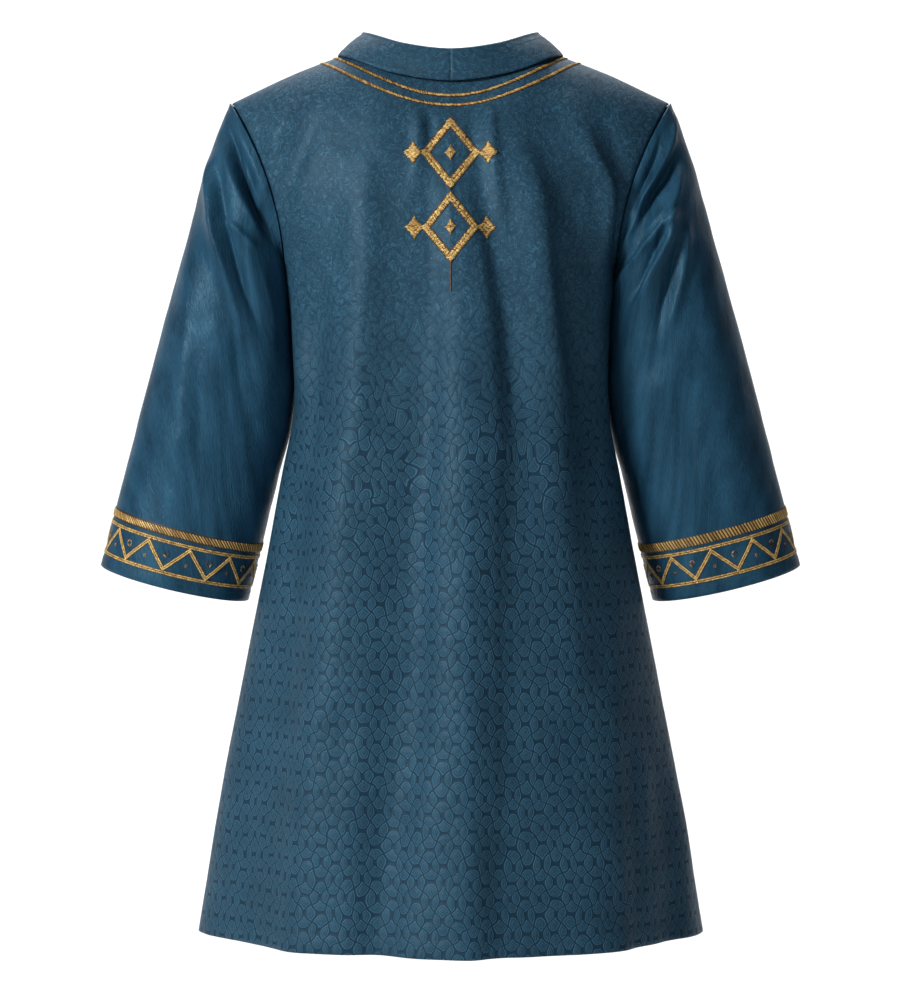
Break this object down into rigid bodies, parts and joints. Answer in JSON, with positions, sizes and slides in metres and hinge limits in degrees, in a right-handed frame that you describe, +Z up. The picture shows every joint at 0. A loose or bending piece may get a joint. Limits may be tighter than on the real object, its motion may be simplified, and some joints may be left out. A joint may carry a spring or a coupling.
{
  "type": "embroidered tunic",
  "caption": "Hollow A-line tunic in worn form with bell sleeves, a turned-down collar, gold neck braids, diamond embroidery and embroidered cuffs.",
  "frame": {"origin": "midway between the two points where the shoulder seams meet the neckline, at their height", "axes": "+Z up, the hem hangs towards -Z; the garment's back faces -Y and its front, with the neck slit, faces +Y; +X is the wearer's right"},
  "size_m": [0.671, 0.3363, 0.8518],
  "materials": {
    "damask": "tonal blue damask with a soft sheen",
    "satin": "plain blue satin",
    "gold_thread": "glossy gold embroidery thread"
  },
  "bodies": {
    "root": {"back_panel": "damask", "front_panel": "damask", "collar_left": "damask", "collar_right": "damask", "sleeve_left": "satin", "sleeve_right": "satin", "neck_braid_inner": "gold_thread", "neck_braid_outer": "gold_thread", "diamond_upper": "gold_thread", "diamond_lower": "gold_thread", "star_upper": "gold_thread", "star_lower": "gold_thread", "cuff_rope_left": "gold_thread", "cuff_rope_right": "gold_thread", "cuff_line_upper_left": "gold_thread", "cuff_line_upper_right": "gold_thread", "cuff_line_lower_left": "gold_thread", "cuff_line_lower_right": "gold_thread", "cuff_zigzag_left": "gold_thread", "cuff_zigzag_right": "gold_thread"}
  },
  "joints": []
}
